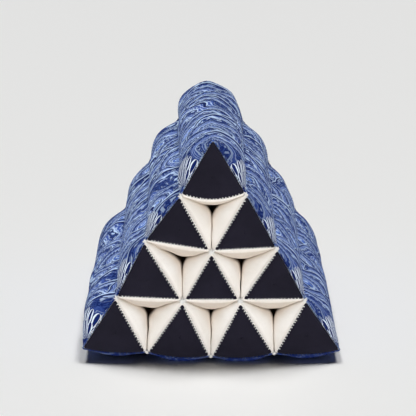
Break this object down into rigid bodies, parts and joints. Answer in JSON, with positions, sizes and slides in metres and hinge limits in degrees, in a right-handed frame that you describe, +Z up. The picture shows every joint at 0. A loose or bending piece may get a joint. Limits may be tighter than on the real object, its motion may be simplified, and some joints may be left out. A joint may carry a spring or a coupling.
{
  "type": "thai triangle cushion",
  "caption": "Triangular floor cushion of stuffed cotton channels stacked in rows, with printed slopes and base, plain dark end caps and open pockets between the channels.",
  "frame": {"origin": "on the floor, under the middle of the cushion", "axes": "+Z up, +Y along the channels from the front to the back, +X across the base"},
  "size_m": [0.4062, 0.499, 0.3655],
  "materials": {
    "channel": "matte unbleached cotton",
    "cap": "matte near-black navy cotton",
    "cover": "matte cotton with a pale figure on a blue ground"
  },
  "bodies": {
    "root": {"channel_1_0": "channel", "channel_2_0": "channel", "channel_2_1": "channel", "channel_3_0": "channel", "channel_3_1": "channel", "channel_3_2": "channel", "channel_4_0": "channel", "channel_4_1": "channel", "channel_4_2": "channel", "channel_4_3": "channel", "cap_front_1_0": "cap", "cap_front_2_0": "cap", "cap_front_2_1": "cap", "cap_front_3_0": "cap", "cap_front_3_1": "cap", "cap_front_3_2": "cap", "cap_front_4_0": "cap", "cap_front_4_1": "cap", "cap_front_4_2": "cap", "cap_front_4_3": "cap", "cap_back_1_0": "cap", "cap_back_2_0": "cap", "cap_back_2_1": "cap", "cap_back_3_0": "cap", "cap_back_3_1": "cap", "cap_back_3_2": "cap", "cap_back_4_0": "cap", "cap_back_4_1": "cap", "cap_back_4_2": "cap", "cap_back_4_3": "cap", "cover_slopes": "cover", "cover_base": "cover"}
  },
  "joints": []
}
